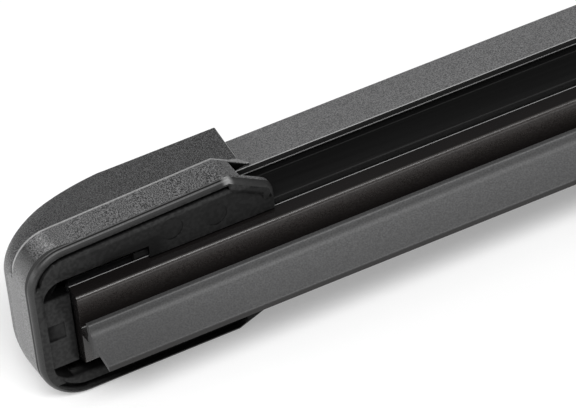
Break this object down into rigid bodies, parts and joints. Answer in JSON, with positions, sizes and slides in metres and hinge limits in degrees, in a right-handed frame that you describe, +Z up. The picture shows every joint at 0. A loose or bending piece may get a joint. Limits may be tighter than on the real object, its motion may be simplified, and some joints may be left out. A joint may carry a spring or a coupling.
{
  "type": "wiper blade",
  "caption": "Flat beam wiper blade lying on its side: a bowed rubber lip under a spoiler strip, moulded end caps, and a pivoting connector with a lid for the arm's hook.",
  "frame": {"origin": "middle of the blade's length, on the connector's lower side face that the blade rests on", "axes": "+X along the blade towards its right end, +Y away from the glass, +Z up across the blade"},
  "size_m": [0.4502, 0.0359, 0.0191],
  "materials": {
    "wiper_rubber": "smooth black rubber with a grey graphite-coated lip",
    "spring_steel": "rolled spring steel, bare",
    "spoiler_elastomer": "dark grey extruded elastomer with a fine matt grain",
    "cap_plastic": "black moulded plastic, fine spark-eroded grain outside and smooth inside",
    "connector_plastic": "black moulded plastic with a fine grain",
    "pin_steel": "drawn steel pin, bare",
    "adapter_plastic": "black moulded plastic, smooth"
  },
  "bodies": {
    "blade": {"rubber_element": "wiper_rubber", "steel_strip_upper": "spring_steel", "steel_strip_lower": "spring_steel", "spoiler_left": "spoiler_elastomer", "spoiler_right": "spoiler_elastomer", "end_cap_left": "cap_plastic", "end_cap_right": "cap_plastic", "connector_base": "connector_plastic", "pivot_pin": "pin_steel"},
    "adapter": {"hook_adapter": "adapter_plastic"},
    "lid": {"adapter_lid": "adapter_plastic"}
  },
  "joints": [
    {"name": "adapter_pivot", "type": "hinge", "parent": "blade", "child": "adapter", "pos_m": [0, 0.009, 0.0086], "axis": [0, 0, 1], "range_deg": [-15, 15]},
    {"name": "lid_hinge", "type": "hinge", "parent": "adapter", "child": "lid", "pos_m": [-0.013, 0.01855, 0.0086], "axis": [0, 0, 1], "range_deg": [0, 110]}
  ]
}
